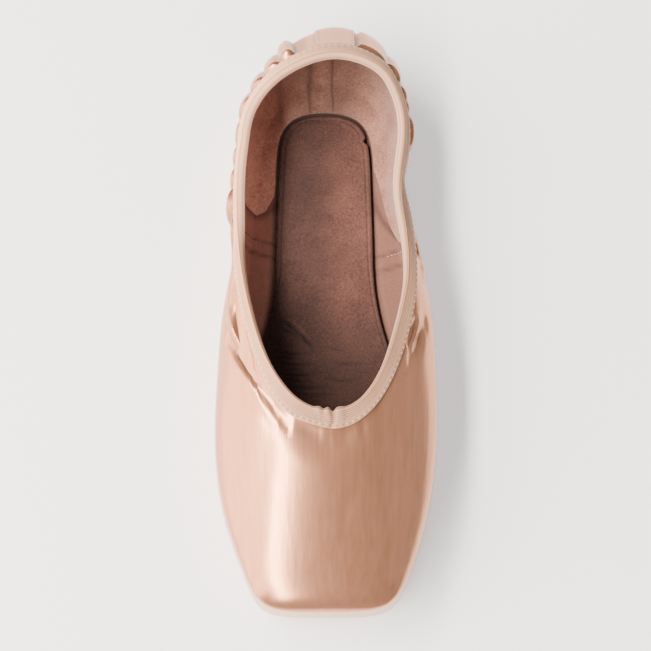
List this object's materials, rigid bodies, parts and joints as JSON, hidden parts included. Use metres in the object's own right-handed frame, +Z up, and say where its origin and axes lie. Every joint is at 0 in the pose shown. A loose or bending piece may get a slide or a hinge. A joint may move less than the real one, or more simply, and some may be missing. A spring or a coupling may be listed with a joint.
{
  "type": "pointe shoe",
  "caption": "Satin ballet pointe shoe with a flat-ended toe box, elastic-bound collar, suede insole and narrow leather sole.",
  "frame": {"origin": "on the floor, under the middle of the shoe's length and width", "axes": "+Y along the shoe towards the heel, the toe platform towards -Y, +Z up, +X to the right when the toe points at the viewer's feet"},
  "size_m": [0.082, 0.2236, 0.0509],
  "materials": {
    "outsole": "matt buffed leather",
    "upper": "smooth satin with a soft sheen",
    "insole": "napped suede",
    "collar_binding": "ribbed elastic webbing",
    "heel_strip": "smooth satin tape"
  },
  "bodies": {
    "root": {"outsole": "outsole", "upper": "upper", "insole": "insole", "collar_binding": "collar_binding", "heel_strip": "heel_strip"}
  },
  "joints": []
}
